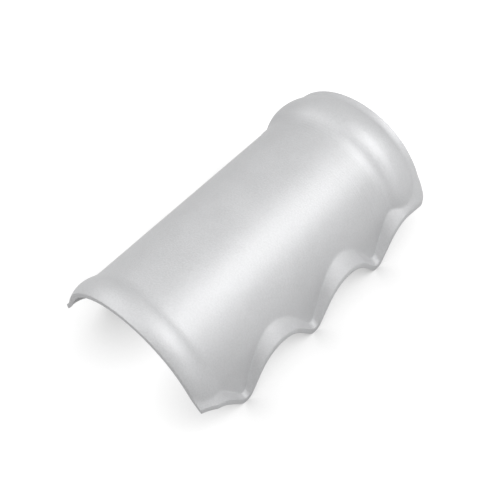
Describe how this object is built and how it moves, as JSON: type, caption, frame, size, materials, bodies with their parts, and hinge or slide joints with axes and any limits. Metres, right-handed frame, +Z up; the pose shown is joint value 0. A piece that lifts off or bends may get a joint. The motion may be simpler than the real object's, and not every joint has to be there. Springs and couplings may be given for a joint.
{
  "type": "roof ridge cap",
  "caption": "Half-round moulded ridge cap for waved roof sheets, with a beaded near end, a socket bell at the far end and scalloped, hooded side aprons.",
  "frame": {"origin": "on the floor that the tips stand on, under the middle of the cap's length and width", "axes": "+Y along the ridge towards the socket bell, +Z up, +X to the side on the right when looking along +Y"},
  "size_m": [0.2512, 0.435, 0.1623],
  "materials": {
    "cap": "satin"
  },
  "bodies": {
    "root": {"ridge_cap": "cap"}
  },
  "joints": []
}
